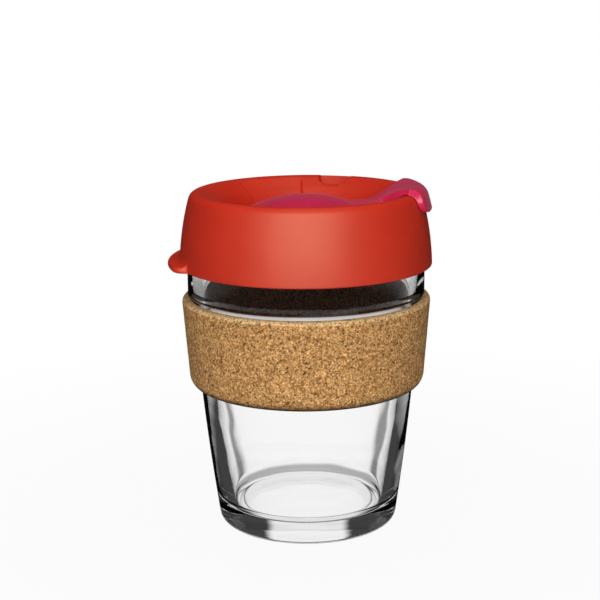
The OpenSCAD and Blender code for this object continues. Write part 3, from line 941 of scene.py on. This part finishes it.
def make_world():
    """White to the camera; through the glass, white windows with dark between them draw its edges."""
    world = bpy.data.worlds.new("studio")
    bpy.context.scene.world = world
    world.use_nodes = True
    tree = world.node_tree
    ambient = tree.nodes["Background"]
    ambient.inputs["Color"].default_value = (1, 1, 1, 1)
    ambient.inputs["Strength"].default_value = AMBIENT
    path = add(tree, "ShaderNodeLightPath")
    bounces = path.outputs["Glossy Depth"]
    parts = add(tree, "ShaderNodeSeparateXYZ")
    tree.links.new(add(tree, "ShaderNodeTexCoord").outputs["Generated"], parts.inputs[0])
    height = parts.outputs["Z"]
    level = map_range(tree, height, (-1.0, 1.0, 0.0, 1.0), "LINEAR")
    angle = calc(tree, "ARCTAN2", parts.outputs["Y"], parts.outputs["X"])
    wave = calc(tree, "COSINE", calc(tree, "MULTIPLY", angle, WINDOWS))
    off = calc(tree, "ABSOLUTE", calc(tree, "SUBTRACT", wave, STRIP_AT))
    window = calc(tree, "MULTIPLY", map_range(tree, off, STRIP), greys(tree, level, DIRECT))
    low = calc(tree, "MULTIPLY", map_range(tree, height, RISING), map_range(tree, bounces, FIRST_BOUNCE))
    aside = calc(tree, "MAXIMUM", map_range(tree, wave, MIDDLE), low)
    bounced = calc(tree, "MULTIPLY", greys(tree, level, BOUNCED), aside)
    light = add(tree, "ShaderNodeMix")
    tree.links.new(calc(tree, "MINIMUM", bounces, 1.0), light.inputs[0])
    tree.links.new(window, light.inputs[2])
    tree.links.new(bounced, light.inputs[3])
    through = add(tree, "ShaderNodeBackground", Strength=1.0)
    tree.links.new(light.outputs[0], through.inputs["Color"])
    dim = add(tree, "ShaderNodeBackground", Color=(1, 1, 1, 1), Strength=MIRRORED)
    white = add(tree, "ShaderNodeBackground", Color=(1, 1, 1, 1), Strength=1.0)
    surface = ambient.outputs[0]
    seen = (("Is Glossy Ray", dim), ("Is Transmission Ray", through), ("Is Camera Ray", white))
    for flag, shader in seen:
        surface = mix_shader(tree, path.outputs[flag], surface, shader.outputs[0])
    tree.links.new(surface, tree.nodes["World Output"].inputs["Surface"])


def area_lamp(name, place, target, size, watts, mirrored):
    data = bpy.data.lights.new(name, "AREA")
    data.shape = "RECTANGLE"
    data.size, data.size_y = size
    data.energy = watts
    lamp = bpy.data.objects.new(name, data)
    lamp.location = place
    lamp.visible_glossy = mirrored
    lamp.visible_transmission = False
    lamp.rotation_euler = (Vector(target) - Vector(place)).to_track_quat("-Z", "Y").to_euler()
    bpy.context.scene.collection.objects.link(lamp)


def make_camera():
    p, r, y = (math.radians(a) for a in (PITCH, ROLL, YAW))
    ahead = Vector((math.cos(p) * math.sin(y), math.cos(p) * math.cos(y), -math.sin(p)))
    right = Vector((math.cos(y), -math.sin(y), 0))
    up = right.cross(ahead)
    rolled = math.cos(r) * right - math.sin(r) * up
    upright = math.sin(r) * right + math.cos(r) * up
    data = bpy.data.cameras.new("camera")
    data.lens = LENS
    data.sensor_width = SENSOR
    cam = bpy.data.objects.new("camera", data)
    place = Matrix((rolled, upright, -ahead)).transposed().to_4x4()
    place.translation = Vector((0, -CAMERA_BACK, CAMERA_UP)) * MM
    cam.matrix_world = place
    bpy.context.scene.collection.objects.link(cam)
    bpy.context.scene.camera = cam


bpy.context.scene.view_settings.view_transform = "Standard"
make_camera()
make_world()
make_floor()
make_card()
for lamp_name, lamp_values in LAMPS.items():
    area_lamp(lamp_name, *lamp_values)

glass = make_glass()
glass.data.materials.append(glass_material())
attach(glass, "cup")
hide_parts("glass_cup")

band = make_band()
band.data.materials.append(cork_material("cork", (0.575, 0.262, 0.078), (1.000, 0.555, 0.208)))
# A darker copy of the cork for the inner face, as painted shade
band.data.materials.append(cork_material("cork_inside_painted_shade", (0.170, 0.078, 0.034), (0.310, 0.140, 0.062)))
# A lighter, flatter copy of the cork for the top, as painted light and sheen
band.data.materials.append(
    cork_material("cork_top_painted_light", (0.940, 0.520, 0.210), (1.000, 0.690, 0.330), contrast=0.3))
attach(band, "band")
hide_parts("cork_band")

lid = make_lid()
lid.data.materials.append(lid_material())
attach(lid, "lid")
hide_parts("lid")

plug = make_plug()
plug.data.materials.append(plug_material())
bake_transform(plug)
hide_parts("plug_dome", "plug_tongue")
